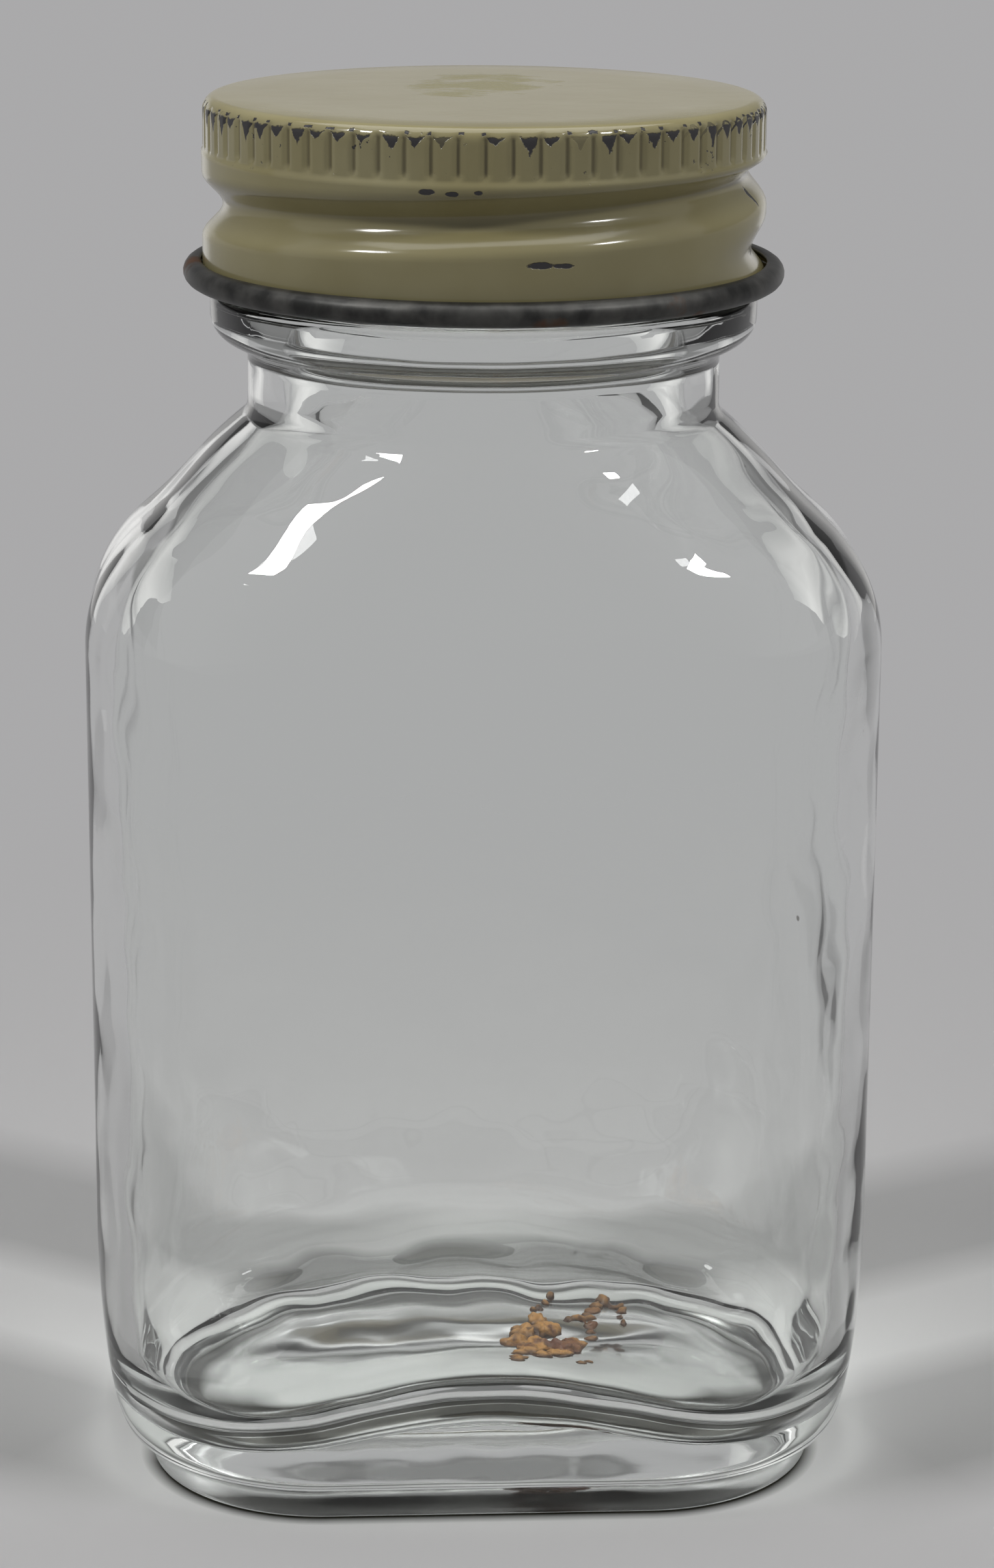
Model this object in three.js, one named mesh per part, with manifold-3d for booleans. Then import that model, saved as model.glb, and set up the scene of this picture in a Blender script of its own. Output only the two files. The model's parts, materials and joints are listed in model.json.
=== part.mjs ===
// A small apothecary bottle of clear glass with a tinplate screw cap and the liner inside the cap.
// Millimetres, +Z up. The origin is on the table under the middle of the bottle.
// The front panel faces -Y.
import * as THREE from "three";
import { mergeVertices } from "three/addons/utils/BufferGeometryUtils.js";
import Module from "manifold-3d";

const degrees = THREE.MathUtils.degToRad;

// Glass body, a rounded rectangle in plan
const bodyWidth = 48.4;
const bodyDepth = 34;
const bodyCornerRadius = 14.2;
const bodyStraightTop = 52.9;
const bodyWall = 2;

// Heel, where the wall tucks in to a low foot that the bottle stands on
const heelHeight = 13.6;
const heelTuck = 1.95;
const footHeight = 2.5;
const footInset = 1.3;
const footRound = 0.5;

// Thick glass floor, crowned inside and pushed up underneath
const floorThickness = 4.5;
const floorCrown = 0.5;
const floorFillet = 4.5;
const bearingRingWidth = 1.8;
const pushUpSlopeWidth = 1.2;
const pushUpHeight = 0.8;
const pushUpCrown = 0.4;

// Shoulder, which leans in from the body to the round neck
const shoulderLean = degrees(45);
const shoulderBendRadius = 10;
const neckFilletRadius = 1.2;

// Neck, transfer bead and screw finish
const boreDiameter = 24;
const neckWall = 2.25;
const neckLength = 3.5;
const beadProud = 2.2;
const beadFlare = 1.75;
const beadLand = 0.84;
const beadTopRound = 0.6;
const finishWall = 2.7;
const finishHeight = 9.87;
const lipOuterRound = 0.9;
const lipInnerRound = 0.6;

// Screw thread, right-hand, with one start of six turns to the inch
const threadPitch = 25.4 / 6;
const threadProud = 1.2;
const threadWidth = 2.9;
const threadTurns = 1.25;
const threadUpperEndAngle = degrees(263);
const threadBelowLip = 2.07;
const threadRunOut = degrees(45);

// Liner discs in the top of the cap
const boardThickness = 1.1;
const facingThickness = 0.25;
const linerClearance = 0.1;

// Cap, drawn and rolled from one disc of tinplate
const sheet = 0.3;
const capOverThread = 0.65;
const capOverFinish = 0.6;
const capAboveBead = 0.36;
const capEdgeRound = 0.8;
const bandInset = 0.1;
const bandHeight = 3.1;
const curlRadius = 0.66;
const curlOverlap = 0.12;

// Rolled groove of the cap, which lies under the glass thread when the cap is tight
const grooveWidth = 3.8;
const grooveTurns = 1.28;
const grooveLowerEndAngle = degrees(-50);
const grooveBelowThread = 1.7;
const grooveRunOut = degrees(65);
const grooveBandClearance = 1;

// Knurl, a ring of upright nicks in the band that the fingers grip
const knurlCount = 68;
const knurlDepth = 0.2;
const knurlLength = 2.65;
const knurlBelowTop = 0.35;

// Fineness of the facets
const glassSegments = 56;
const linerSegments = 48;
const arcSteps = 3;
const smallArcSteps = 2;
const threadSteps = 13;
const grooveSteps = 10;
const curlSteps = 6;

// Radii and heights that follow from the sizes above, from the bore outwards and from the table upwards
const boreRadius = boreDiameter / 2;
const neckRadius = boreRadius + neckWall;
const beadRadius = neckRadius + beadProud;
const finishRadius = boreRadius + finishWall;
const outerPlan = planOf(bodyWidth / 2, bodyDepth / 2, bodyCornerRadius);
const innerPlan = insetPlan(outerPlan, bodyWall);
const outerShoulder = shoulderRings(outerPlan, neckRadius, shoulderBendRadius, neckFilletRadius);
const innerShoulder = shoulderRings(
  innerPlan,
  boreRadius,
  shoulderBendRadius - bodyWall,
  neckFilletRadius + neckWall,
);
const neckFoot = outerShoulder.at(-1).height;
const beadFoot = neckFoot + neckLength;
const beadTop = beadFoot + beadFlare + beadLand + beadTopRound;
const lipHeight = beadTop + finishHeight;
const boardFoot = lipHeight + facingThickness;
const capUnderside = boardFoot + boardThickness;
const capTop = capUnderside + sheet;
const skirtInnerRadius = finishRadius + threadProud + capOverThread;
const skirtOuterRadius = skirtInnerRadius + sheet;
const bandRadius = skirtOuterRadius - bandInset;
const bandFoot = capTop - bandHeight;
const grooveDepth = skirtInnerRadius - finishRadius - capOverFinish;
const curlCentreRadius = skirtOuterRadius + curlRadius - curlOverlap;
const curlHeight = beadTop + capAboveBead + curlRadius;
const bandInnerRadius = bandRadius - sheet;
const capInnerRound = Math.max(capEdgeRound - sheet, sheet);
const linerRadius = bandInnerRadius - capInnerRound - linerClearance;

// A helix is its lower end, its length and the height of its centre line at the lower end
const thread = {
  start: threadUpperEndAngle - threadTurns * 2 * Math.PI,
  length: threadTurns * 2 * Math.PI,
  startHeight: lipHeight - threadBelowLip - threadTurns * threadPitch,
  width: threadWidth,
  runOut: threadRunOut,
};
const groove = {
  start: grooveLowerEndAngle,
  length: grooveTurns * 2 * Math.PI,
  startHeight:
    thread.startHeight - grooveBelowThread
    + (threadPitch * (grooveLowerEndAngle - thread.start)) / (2 * Math.PI),
  width: grooveWidth,
  runOut: grooveRunOut,
};

// A plan is a rounded rectangle about the axis
function planOf(halfWidth, halfDepth, cornerRadius) {
  return { halfWidth, halfDepth, cornerRadius: Math.min(cornerRadius, halfWidth, halfDepth) };
}

function insetPlan(plan, inset) {
  return planOf(plan.halfWidth - inset, plan.halfDepth - inset, plan.cornerRadius - inset);
}

// A plan part of the way from a circle, share 0, to another plan, share 1
function blendedPlan(plan, radius, share) {
  const blend = (value) => THREE.MathUtils.lerp(radius, value, share);
  return planOf(blend(plan.halfWidth), blend(plan.halfDepth), blend(plan.cornerRadius));
}

// How far the edge of a plan is from the axis in one direction
function planReach({ halfWidth, halfDepth, cornerRadius }, angle) {
  const across = Math.abs(Math.cos(angle));
  const along = Math.abs(Math.sin(angle));
  const cornerX = halfWidth - cornerRadius;
  const cornerY = halfDepth - cornerRadius;
  if (halfWidth * along <= cornerY * across) {
    return halfWidth / across;
  }
  if (halfDepth * across <= cornerX * along) {
    return halfDepth / along;
  }
  const towards = across * cornerX + along * cornerY;
  const aside = across * cornerY - along * cornerX;
  return towards + Math.sqrt(cornerRadius ** 2 - aside ** 2);
}

// How much of its full height a helical ridge has at one place, from 0 to 1.
// It is rounded across and runs out at both ends.
function helixShare(helix, angle, height) {
  let share = 0;
  for (let turn = -2; turn <= 2; turn += 1) {
    const travelled = angle + turn * 2 * Math.PI - helix.start;
    const centre = helix.startHeight + (threadPitch * travelled) / (2 * Math.PI);
    const aside = Math.abs(height - centre) / (helix.width / 2);
    const toEnd = Math.min(travelled, helix.length - travelled);
    if (aside < 1 && toEnd > 0) {
      const crown = Math.cos((aside * Math.PI) / 2) ** 2;
      share = Math.max(share, crown * THREE.MathUtils.smoothstep(toEnd, 0, helix.runOut));
    }
  }
  return share;
}

// A ring of a lathed piece is a height and the reach of its wall in each direction
function roundRing(radius, height) {
  return { height, reach: () => radius };
}

function planRing(plan, height) {
  return { height, reach: (angle) => planReach(plan, angle) };
}

function threadRing(height) {
  return { height, reach: (angle) => finishRadius + threadProud * helixShare(thread, angle, height) };
}

// The rolled groove fades before it reaches the knurled band
function skirtRing(radius, height) {
  const room = THREE.MathUtils.smoothstep(bandFoot - height, 0, grooveBandClearance);
  return { height, reach: (angle) => radius - grooveDepth * room * helixShare(groove, angle, height) };
}

// Round rings along an arc, whose angles are measured from +X towards +Z
function arcRings(centreRadius, centreHeight, radius, from, to, steps, rise = radius) {
  return range(steps + 1).map((step) => {
    const angle = THREE.MathUtils.lerp(from, to, step / steps);
    return roundRing(centreRadius + radius * Math.cos(angle), centreHeight + rise * Math.sin(angle));
  });
}

// Round rings along a quarter of a circle, counted in quarters from the outermost point upwards
function quarterRings(centreRadius, centreHeight, radius, quarter, steps, rise = radius) {
  const from = (quarter * Math.PI) / 2;
  return arcRings(centreRadius, centreHeight, radius, from, from + Math.PI / 2, steps, rise);
}

// Rings that follow a rounded edge where a floor turns up into an upright wall
function turnUpRings(plan, floorHeight, radius, rise = radius) {
  return range(arcSteps + 1).map((step) => {
    const angle = ((step / arcSteps) * Math.PI) / 2;
    const inset = radius * (1 - Math.sin(angle));
    return planRing(insetPlan(plan, inset), floorHeight + rise * (1 - Math.cos(angle)));
  });
}

// Rings of a shoulder: a bend out of the upright wall, a straight lean and a fillet into the neck
function shoulderRings(plan, radius, bendRadius, filletRadius) {
  const rings = [];
  const reachIn = plan.halfWidth - radius;
  const turnIn = 1 - Math.cos(shoulderLean);
  const leanIn = reachIn - (bendRadius + filletRadius) * turnIn;
  const leanTop = bodyStraightTop + bendRadius * Math.sin(shoulderLean) + leanIn / Math.tan(shoulderLean);
  const addRing = (inward, height) => {
    rings.push(planRing(blendedPlan(plan, radius, 1 - inward / reachIn), height));
  };
  for (const step of range(arcSteps + 1)) {
    const angle = (step / arcSteps) * shoulderLean;
    addRing(bendRadius * (1 - Math.cos(angle)), bodyStraightTop + bendRadius * Math.sin(angle));
  }
  for (const step of range(arcSteps + 1)) {
    const angle = (1 - step / arcSteps) * shoulderLean;
    addRing(
      reachIn - filletRadius * (1 - Math.cos(angle)),
      leanTop + filletRadius * (Math.sin(shoulderLean) - Math.sin(angle)),
    );
  }
  return rings;
}

function range(count) {
  return Array.from({ length: count }, (_, index) => index);
}

// Rings spaced evenly between two heights, both included
function evenRings(makeRing, from, to, steps) {
  return range(steps + 1).map((step) => makeRing(THREE.MathUtils.lerp(from, to, step / steps)));
}

// A lathe whose wall follows the reach of each ring, with the first and the last ring on the axis
function lathe(rings, segments) {
  const outline = rings.map((ring) => new THREE.Vector2(ring.reach(0), ring.height));
  const geometry = new THREE.LatheGeometry(outline, segments).rotateX(Math.PI / 2);
  const position = geometry.attributes.position;
  for (const index of range(position.count)) {
    const ring = rings[index % rings.length];
    const angle = Math.floor(index / rings.length) * ((2 * Math.PI) / segments);
    const reach = ring.reach(angle);
    position.setXY(index, reach * Math.cos(angle), reach * Math.sin(angle));
  }
  return geometry;
}

// The faces of a geometry as one shell: shared corners are merged and faces with no area are left out
function shellOf(geometry) {
  geometry.deleteAttribute("normal");
  geometry.deleteAttribute("uv");
  const merged = mergeVertices(geometry);
  const corners = merged.index.array;
  const faces = [];
  for (let face = 0; face < corners.length; face += 3) {
    const [a, b, c] = corners.slice(face, face + 3);
    if (a !== b && b !== c && c !== a) {
      faces.push(a, b, c);
    }
  }
  merged.setIndex(faces);
  return merged;
}

const wasm = await Module();
wasm.setup();

function solidOf(geometry) {
  const shell = shellOf(geometry);
  const vertProperties = Float32Array.from(shell.attributes.position.array);
  const triVerts = Uint32Array.from(shell.index.array);
  return new wasm.Manifold(new wasm.Mesh({ numProp: 3, vertProperties, triVerts }));
}

function geometryOf(solid) {
  const { vertProperties, triVerts } = solid.getMesh();
  const geometry = new THREE.BufferGeometry();
  geometry.setAttribute("position", new THREE.BufferAttribute(Float32Array.from(vertProperties), 3));
  geometry.setIndex(new THREE.BufferAttribute(Uint32Array.from(triVerts), 1));
  return geometry;
}

function addPiece(group, name, geometry, material) {
  geometry.computeVertexNormals();
  const mesh = new THREE.Mesh(geometry, new THREE.MeshStandardMaterial(material));
  mesh.name = name;
  group.add(mesh);
}

// The bottle is one shell of glass.
// Its wall goes up the outside from the push-up to the lip, then down the inside to the floor.
function glassBottle() {
  const footPlan = insetPlan(outerPlan, heelTuck + footInset);
  const bearingPlan = insetPlan(footPlan, footRound + bearingRingWidth);
  const pushUpPlan = insetPlan(bearingPlan, pushUpSlopeWidth);
  const fillet = Math.min(floorFillet, innerPlan.cornerRadius);
  return lathe([
    roundRing(0, pushUpHeight + pushUpCrown),
    planRing(pushUpPlan, pushUpHeight),
    planRing(bearingPlan, 0),
    ...turnUpRings(footPlan, 0, footRound),
    planRing(footPlan, footHeight),
    ...turnUpRings(outerPlan, footHeight, heelTuck, heelHeight),
    ...outerShoulder,
    ...quarterRings(neckRadius, beadFoot + beadFlare, beadProud, -1, arcSteps, beadFlare),
    ...quarterRings(beadRadius - beadTopRound, beadTop - beadTopRound, beadTopRound, 0, smallArcSteps),
    ...evenRings(threadRing, beadTop, lipHeight - lipOuterRound, threadSteps),
    ...quarterRings(
      finishRadius - lipOuterRound, lipHeight - lipOuterRound, lipOuterRound, 0, arcSteps,
    ).slice(1),
    ...quarterRings(boreRadius + lipInnerRound, lipHeight - lipInnerRound, lipInnerRound, 1, arcSteps),
    ...innerShoulder.toReversed(),
    ...turnUpRings(innerPlan, floorThickness, fillet).toReversed(),
    roundRing(0, floorThickness + floorCrown),
  ], glassSegments);
}

// One nick of the knurl is a square bar set on edge against the band
function knurlNick(index) {
  const halfDiagonal = 2 * knurlDepth;
  const nick = new THREE.CylinderGeometry(halfDiagonal, halfDiagonal, knurlLength, 4);
  nick.rotateX(Math.PI / 2);
  nick.rotateZ(Math.PI / 2);
  nick.translate(bandRadius - knurlDepth + halfDiagonal, 0, capTop - knurlBelowTop - knurlLength / 2);
  nick.rotateZ(((index + 0.5) / knurlCount) * 2 * Math.PI);
  return solidOf(nick);
}

// The cap is one skin of sheet.
// Its wall goes from under the top down the inside, round the curl and up the outside to the top.
function screwCap() {
  const overhang = Math.acos((skirtOuterRadius - curlCentreRadius) / curlRadius);
  const skirtFoot = curlHeight + curlRadius * Math.sin(overhang);
  const skirtTop = bandFoot - bandInset;
  const skin = lathe([
    roundRing(0, capUnderside),
    ...quarterRings(
      bandInnerRadius - capInnerRound, capUnderside - capInnerRound, capInnerRound, 0, smallArcSteps,
    ).toReversed(),
    roundRing(bandInnerRadius, bandFoot),
    ...evenRings((height) => skirtRing(skirtInnerRadius, height), skirtTop, skirtFoot, grooveSteps),
    ...arcRings(curlCentreRadius, curlHeight, curlRadius, -Math.PI, overhang, curlSteps).slice(0, -1),
    ...evenRings((height) => skirtRing(skirtOuterRadius, height), skirtFoot, skirtTop, grooveSteps),
    roundRing(bandRadius, bandFoot),
    ...quarterRings(bandRadius - capEdgeRound, capTop - capEdgeRound, capEdgeRound, 0, arcSteps),
    roundRing(0, capTop),
  ], knurlCount);
  return range(knurlCount).reduce((cap, index) => cap.subtract(knurlNick(index)), solidOf(skin));
}

function linerDisc(footHeight, thickness) {
  const disc = new THREE.CylinderGeometry(linerRadius, linerRadius, thickness, linerSegments);
  return disc.rotateX(Math.PI / 2).translate(0, 0, footHeight + thickness / 2);
}

const bottle = new THREE.Group();
addPiece(bottle, "glass_bottle", geometryOf(solidOf(glassBottle())), {
  color: 0xdde5e0, roughness: 0.04, metalness: 0, transparent: true, opacity: 0.35,
});
addPiece(bottle, "screw_cap", geometryOf(screwCap()), { color: 0xc9c49f, roughness: 0.3, metalness: 0 });
addPiece(bottle, "liner_board", shellOf(linerDisc(boardFoot, boardThickness)), {
  color: 0xb09a76, roughness: 0.95, metalness: 0,
});
addPiece(bottle, "liner_facing", shellOf(linerDisc(lipHeight, facingThickness)), {
  color: 0xe6dfcd, roughness: 0.45, metalness: 0,
});

export default bottle;
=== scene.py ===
import json
import math
from collections import namedtuple

import bmesh
import bpy
from mathutils import Matrix, Vector


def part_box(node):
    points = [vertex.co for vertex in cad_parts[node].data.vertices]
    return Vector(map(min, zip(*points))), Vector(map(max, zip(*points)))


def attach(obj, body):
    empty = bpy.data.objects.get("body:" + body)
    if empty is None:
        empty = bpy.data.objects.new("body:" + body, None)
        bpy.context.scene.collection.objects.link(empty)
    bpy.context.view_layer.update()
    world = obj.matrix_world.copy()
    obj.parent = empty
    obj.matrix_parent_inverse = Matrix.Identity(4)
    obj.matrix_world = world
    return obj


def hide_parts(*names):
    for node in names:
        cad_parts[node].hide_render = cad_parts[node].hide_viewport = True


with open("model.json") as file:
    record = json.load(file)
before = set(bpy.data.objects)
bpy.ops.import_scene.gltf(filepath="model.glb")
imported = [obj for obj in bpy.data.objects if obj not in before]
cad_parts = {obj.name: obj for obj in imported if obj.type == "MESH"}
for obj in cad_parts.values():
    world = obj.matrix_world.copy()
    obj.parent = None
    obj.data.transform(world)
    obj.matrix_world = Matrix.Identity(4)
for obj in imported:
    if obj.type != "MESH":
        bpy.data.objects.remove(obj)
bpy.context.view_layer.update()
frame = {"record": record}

# The glass bottle is one body of clear soda glass, blown in a mould with a pressed neck.
# The outside is true to the mould. The inside lies where the soft glass settled, so the wall
# and the floor wander, and the floor is thick.
mm = 0.001
glass_low, glass_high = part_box("glass_bottle")
lip_top = glass_high[2]
body_corner = 14.2 * mm
body_straight_top = 52.9 * mm
body_wall = 2 * mm
heel_height = 13.6 * mm
heel_tuck = 1.95 * mm
foot_height = 2.5 * mm
foot_inset = 1.3 * mm
foot_round = 0.5 * mm
bearing_ring_width = 1.8 * mm
push_up_height = 1.2 * mm
floor_height = 3.8 * mm
floor_crown = 1.2 * mm
floor_fillet = 5.6 * mm
shoulder_lean = math.radians(45)
shoulder_bend = 10 * mm
shoulder_wave = 0.15 * mm
neck_fillet = 1.2 * mm
bore_radius = 12 * mm
neck_radius = 14.25 * mm
bead_radius = 16.45 * mm
bead_top_round = 0.6 * mm
bead_top = lip_top - 9.87 * mm
bead_flare = 1.75 * mm
bead_foot = bead_top - 3.19 * mm
finish_radius = 14.7 * mm
lip_outer_round = 0.9 * mm
lip_inner_round = 0.6 * mm
thread_proud = 1.2 * mm
thread_turns = 1.25
thread_below_lip = 2.07 * mm

Ring = namedtuple("Ring", "height corner spread_x spread_y", defaults=(0.0, 0.0))
Helix = namedtuple("Helix", "start length start_height width run_out")


def shares(steps):
    """Even shares from just above 0 to 1."""
    return [step / steps for step in range(1, steps + 1)]


def between(a, b, share):
    return a + (b - a) * share


def start_piece(name, points, ring):
    """A bare ring of points in edit mode, from which a piece is drawn out."""
    bpy.ops.object.select_all(action="DESELECT")
    bpy.ops.mesh.primitive_circle_add(
        vertices=points, radius=ring.corner,
        location=(0, 0, ring.height), rotation=(0, 0, math.pi / points))
    piece = bpy.context.object
    piece.name = name
    piece.data.name = name
    bpy.ops.object.transform_apply(location=True, rotation=True, scale=True)
    bpy.ops.object.mode_set(mode="EDIT")
    bpy.ops.mesh.select_all(action="SELECT")
    spread_halves(piece, 0, ring.spread_x)
    spread_halves(piece, 1, ring.spread_y)
    return piece


def choose(piece, wanted):
    """Selects, in edit mode, the points that are wanted and nothing else."""
    mesh = bmesh.from_edit_mesh(piece.data)
    for point in mesh.verts:
        point.select = wanted(point)
    mesh.select_mode = {"VERT"}
    mesh.select_flush_mode()
    bmesh.update_edit_mesh(piece.data)


def spread_halves(piece, axis, distance):
    """Moves the halves of the selected ring apart along an axis, so that flat sides open between."""
    if abs(distance) < 1e-9:
        return
    mesh = bmesh.from_edit_mesh(piece.data)
    rim = {point.index for point in mesh.verts if point.select}
    for side in (1, -1):
        choose(piece, lambda point: point.index in rim and point.co[axis] * side > 0)
        move = [0, 0, 0]
        move[axis] = side * distance
        bpy.ops.transform.translate(value=move)
    choose(piece, lambda point: point.index in rim)


def draw_wall(piece, rim, rings):
    """Draws the selected rim out through the rings, one after another, and returns the last."""
    for ring in rings:
        grow = ring.corner / rim.corner
        bpy.ops.mesh.extrude_region_move(TRANSFORM_OT_translate={"value": (0, 0, ring.height - rim.height)})
        bpy.ops.transform.resize(value=(grow, grow, 1), center_override=(0, 0, ring.height))
        bmesh.from_edit_mesh(piece.data).verts.index_update()
        spread_halves(piece, 0, ring.spread_x - grow * rim.spread_x)
        spread_halves(piece, 1, ring.spread_y - grow * rim.spread_y)
        rim = ring
    return rim


def straight(rim, height, steps):
    """Rings of one plan up or down to another height."""
    return [rim._replace(height=between(rim.height, height, share)) for share in shares(steps)]


def quarter(centre, height, radius, start, steps, rise=None):
    """Round rings along a quarter turn of a profile, starting so many quarters from its outermost point."""
    turns = [(start + share) * math.pi / 2 for share in [0, *shares(steps)]]
    tall = rise or radius
    return [Ring(height + tall * math.sin(turn), centre + radius * math.cos(turn)) for turn in turns]


def heel(wall, floor, tuck, rise, steps):
    """Rings that tuck an upright wall in to a floor below it."""
    turns = [share * math.pi / 2 for share in shares(steps)]
    return [
        wall._replace(
            height=floor + rise * (1 - math.sin(turn)),
            corner=wall.corner - tuck * (1 - math.cos(turn)))
        for turn in turns]


def dish(edge, crown, steps, least=0.03):
    """Rings of a crowned floor, from inside its edge nearly to the middle."""
    sizes = [between(1, least, share) for share in shares(steps)]
    return [
        Ring(
            edge.height + crown * (1 - size ** 2),
            edge.corner * size, edge.spread_x * size, edge.spread_y * size)
        for size in sizes]


def shoulder(wall, radius, bend, fillet, steps, wave=0):
    """Rings from the top of an upright wall to a round neck: a bend, a lean that may wave, and a fillet."""
    reach = wall.corner + wall.spread_x - radius
    turn_in = 1 - math.cos(shoulder_lean)
    lean_in = reach - (bend + fillet) * turn_in
    lean_foot = wall.height + bend * math.sin(shoulder_lean)
    lean_top = lean_foot + lean_in / math.tan(shoulder_lean)
    turns = [shoulder_lean * share for share in shares(steps)]
    profile = [(bend * (1 - math.cos(turn)), wall.height + bend * math.sin(turn)) for turn in turns]
    profile += [
        (bend * turn_in + lean_in * share + wave * math.sin(2 * math.pi * share),
         between(lean_foot, lean_top, share))
        for share in shares(steps)]
    profile += [
        (reach - fillet * (1 - math.cos(turn)),
         lean_top + fillet * (math.sin(shoulder_lean) - math.sin(turn)))
        for turn in [*reversed(turns[:-1]), 0]]
    return [
        Ring(height, between(wall.corner, radius, inward / reach),
             wall.spread_x * (1 - inward / reach), wall.spread_y * (1 - inward / reach))
        for inward, height in profile]


def close_middle():
    """Draws the selected ring together into one point."""
    bpy.ops.mesh.merge(type="CENTER")


def helix_share(helix, angle, height):
    """How much of its full height a rolled or moulded thread has at one place, from 0 to 1."""
    share = 0
    for turn in range(-2, 3):
        travelled = angle + turn * 2 * math.pi - helix.start
        centre = helix.start_height + thread_pitch * travelled / (2 * math.pi)
        aside = abs(height - centre) / (helix.width / 2)
        to_end = min(travelled, helix.length - travelled)
        if aside < 1 and to_end > 0:
            ease = min(to_end / helix.run_out, 1)
            crown = math.cos(aside * math.pi / 2) ** 2
            share = max(share, crown * ease * ease * (3 - 2 * ease))
    return share


coupling = frame["record"]["behaviour"]["couplings"][0]
thread_pitch = 2 * math.pi * coupling["ratio"]
thread_length = thread_turns * 2 * math.pi
thread_end = math.radians(263)
thread = Helix(
    start=thread_end - thread_length, length=thread_length,
    start_height=lip_top - thread_below_lip - thread_turns * thread_pitch,
    width=2.9 * mm, run_out=math.radians(45))

glass_points = 160
outer_wall = Ring(body_straight_top, body_corner, glass_high[0] - body_corner, glass_high[1] - body_corner)
inner_wall = outer_wall._replace(corner=body_corner - body_wall)
glass = start_piece("glass_body", glass_points, outer_wall)
rim = draw_wall(
    glass, outer_wall, shoulder(outer_wall, neck_radius, shoulder_bend, neck_fillet, 18, shoulder_wave))
rim = draw_wall(glass, rim, [
    *straight(rim, bead_foot, 3),
    *quarter(neck_radius, bead_foot + bead_flare, bead_radius - neck_radius, -1, 8, bead_flare)[1:],
    *quarter(bead_radius - bead_top_round, bead_top - bead_top_round, bead_top_round, 0, 5),
    Ring(bead_top, finish_radius + 0.3 * mm),
    Ring(bead_top + 0.3 * mm, finish_radius),
])
rim = draw_wall(glass, rim, [
    *straight(rim, lip_top - lip_outer_round, 42),
    *quarter(finish_radius - lip_outer_round, lip_top - lip_outer_round, lip_outer_round, 0, 6)[1:],
    *quarter(bore_radius + lip_inner_round, lip_top - lip_inner_round, lip_inner_round, 1, 5),
])
inside_shoulder = shoulder(
    inner_wall, bore_radius, shoulder_bend - body_wall, neck_fillet + neck_radius - bore_radius, 8)
rim = draw_wall(glass, rim, straight(rim, inside_shoulder[-1].height, 8))
bmesh.from_edit_mesh(glass.data).verts.index_update()
first_blown = len(bmesh.from_edit_mesh(glass.data).verts)
rim = draw_wall(glass, rim, [
    *reversed(inside_shoulder[:-1]), inner_wall, *straight(inner_wall, floor_height + floor_fillet, 26)])
rim = draw_wall(glass, rim, heel(inner_wall, floor_height, floor_fillet, floor_fillet, 12))
draw_wall(glass, rim, dish(rim, floor_crown, 22))
close_middle()
bmesh.from_edit_mesh(glass.data).verts.index_update()
choose(glass, lambda point: point.index >= first_blown)
blown = glass.vertex_groups.new(name="blown_inside")
bpy.ops.object.vertex_group_assign()
choose(glass, lambda point: point.is_boundary)
foot = outer_wall._replace(height=foot_height, corner=body_corner - heel_tuck - foot_inset)
rim = draw_wall(glass, outer_wall, [
    *straight(outer_wall, foot_height + heel_height, 12),
    *heel(outer_wall, foot_height, heel_tuck, heel_height, 18),
    foot._replace(corner=foot.corner + 0.3 * mm), foot._replace(height=foot_height - 0.3 * mm),
    *straight(foot, foot_round, 3)[1:],
    *heel(foot, 0, foot_round, foot_round, 6)])
bearing = rim._replace(corner=rim.corner - bearing_ring_width)
rim = draw_wall(glass, rim, [rim._replace(corner=rim.corner - 0.6 * bearing_ring_width), bearing])
draw_wall(glass, rim, dish(rim, push_up_height, 14))
close_middle()

# The flat sides get points of their own
for axis, cuts in ((0, 14), (1, 5)):
    mesh = bmesh.from_edit_mesh(glass.data)
    for edge in mesh.edges:
        a, b = (point.co[axis] for point in edge.verts)
        edge.select = a * b < 0
    mesh.select_mode = {"EDGE"}
    mesh.select_flush_mode()
    bmesh.update_edit_mesh(glass.data)
    bpy.ops.mesh.subdivide(number_cuts=cuts)
bpy.ops.mesh.select_all(action="SELECT")
bpy.ops.mesh.normals_make_consistent(inside=False)

# The thread stands out of the finish
mesh = bmesh.from_edit_mesh(glass.data)
for point in mesh.verts:
    radius = point.co.xy.length
    on_finish = bead_top + 0.2 * mm < point.co.z < lip_top - 0.5 * lip_outer_round
    if on_finish and radius > finish_radius - 0.01 * mm:
        share = helix_share(thread, math.atan2(point.co.y, point.co.x), point.co.z)
        point.co.xy *= 1 + thread_proud * share / radius
bmesh.update_edit_mesh(glass.data)


def push_glass(point, move, reach):
    """Moves the skin of the glass at one place, and what lies round it in a soft slope."""
    mesh = bmesh.from_edit_mesh(glass.data)
    nearest = min(mesh.verts, key=lambda vert: (vert.co - Vector(point)).length)
    mesh.verts.index_update()
    chosen = nearest.index
    choose(glass, lambda vert: vert.index == chosen)
    bpy.ops.transform.translate(
        value=move, use_proportional_edit=True, use_proportional_connected=True,
        proportional_edit_falloff="SMOOTH", proportional_size=reach)


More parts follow.
